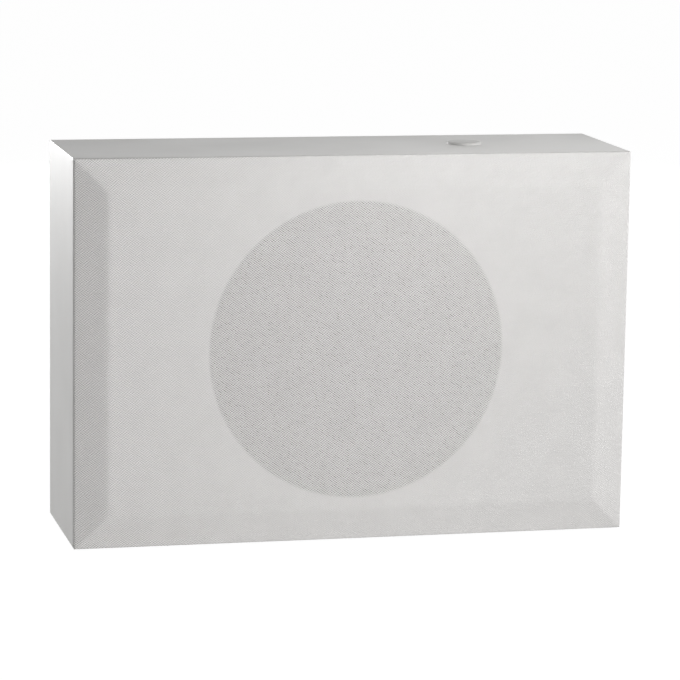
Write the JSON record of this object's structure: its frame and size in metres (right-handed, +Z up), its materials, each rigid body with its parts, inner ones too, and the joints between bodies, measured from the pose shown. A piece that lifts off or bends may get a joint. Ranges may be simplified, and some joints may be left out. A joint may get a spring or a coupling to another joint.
{
  "type": "passive subwoofer",
  "caption": "Slim lacquered box loudspeaker for bass with a bevelled cloth grille in front of a shallow round driver, and binding posts in a cup at the back.",
  "frame": {"origin": "on the floor, under the middle of the whole body with its grille", "axes": "+X to the right seen from the grille, +Y to the back, +Z up; the grille faces -Y"},
  "size_m": [0.466, 0.1408, 0.3244],
  "materials": {
    "cabinet_lacquer": "satin",
    "rear_lacquer": "matte",
    "baffle_black": "matte",
    "bare_board": "matte",
    "polyester_wool": "matte",
    "cap_plastic": "satin",
    "foot_rubber": "matte",
    "grille_board": "matte",
    "grille_cloth": "matte",
    "magnet_nickel": "polished",
    "zinc_steel": "satin",
    "cone_paper": "matte",
    "coil_foil": "satin",
    "coil_copper": "satin",
    "surround_rubber": "satin",
    "spider_cloth": "matte",
    "trim_rubber": "matte",
    "seal_foam": "matte",
    "cast_aluminium": "matte",
    "black_steel": "satin",
    "ferrite": "matte",
    "phenolic_board": "matte",
    "tab_brass": "satin",
    "sleeve_vinyl": "gloss",
    "tinned_copper": "satin",
    "lead_red": "satin",
    "lead_black": "satin",
    "cup_plastic": "matte",
    "post_gold": "polished",
    "nut_red": "gloss",
    "nut_black": "gloss"
  },
  "bodies": {
    "cabinet": {"top_panel": "cabinet_lacquer", "bottom_panel": "cabinet_lacquer", "front_baffle": "baffle_black", "rear_panel": "rear_lacquer", "top_cap": "cap_plastic", "catch_discs": "zinc_steel", "surround": "surround_rubber", "spider": "spider_cloth", "driver_trim_ring": "trim_rubber", "driver_gasket": "seal_foam", "driver_basket": "cast_aluminium", "driver_screws": "black_steel", "top_plate": "zinc_steel", "magnet_ring": "ferrite", "yoke": "zinc_steel", "lug_board": "phenolic_board", "lug_tabs": "tab_brass", "lead_sleeves": "sleeve_vinyl", "lead_eyelets": "tinned_copper", "tinsel_leads": "tinned_copper", "terminal_cup": "cup_plastic", "terminal_gasket": "seal_foam", "terminal_screws": "black_steel", "lock_nuts": "tab_brass", "hanger_screws": "zinc_steel", "left_side_panel": "cabinet_lacquer", "left_brace": "bare_board", "left_wadding": "polyester_wool", "left_hanger": "cup_plastic", "foot_front_left": "foot_rubber", "foot_rear_left": "foot_rubber", "right_side_panel": "cabinet_lacquer", "right_brace": "bare_board", "right_wadding": "polyester_wool", "right_hanger": "cup_plastic", "foot_front_right": "foot_rubber", "foot_rear_right": "foot_rubber", "negative_post": "post_gold", "negative_lead": "lead_black", "positive_post": "post_gold", "positive_lead": "lead_red"},
    "grille": {"grille_frame": "grille_board", "grille_cloth": "grille_cloth", "grille_magnets": "magnet_nickel"},
    "moving_cone": {"cone": "cone_paper", "dust_cap": "cone_paper", "coil_former": "coil_foil", "coil_winding": "coil_copper"},
    "positive_nut": {"positive_thumb_nut": "nut_red"},
    "negative_nut": {"negative_thumb_nut": "nut_black"}
  },
  "joints": [
    {"name": "cone_travel", "type": "slide", "parent": "cabinet", "child": "moving_cone", "axis": [0, -1, 0], "range_m": [-0.008, 0.008], "stiffness_N_per_m": 2500, "deforming": ["surround", "spider", "tinsel_leads"]},
    {"name": "grille_pull", "type": "slide", "parent": "cabinet", "child": "grille", "axis": [0, -1, 0], "range_m": [0, 0.08]},
    {"name": "positive_nut_turn", "type": "hinge", "parent": "cabinet", "child": "positive_nut", "pos_m": [0.0095, 0.0644, 0.054], "axis": [0, 1, 0], "range_deg": [0, 720]},
    {"name": "negative_nut_turn", "type": "hinge", "parent": "cabinet", "child": "negative_nut", "pos_m": [-0.0095, 0.0644, 0.054], "axis": [0, 1, 0], "range_deg": [0, 720]}
  ]
}
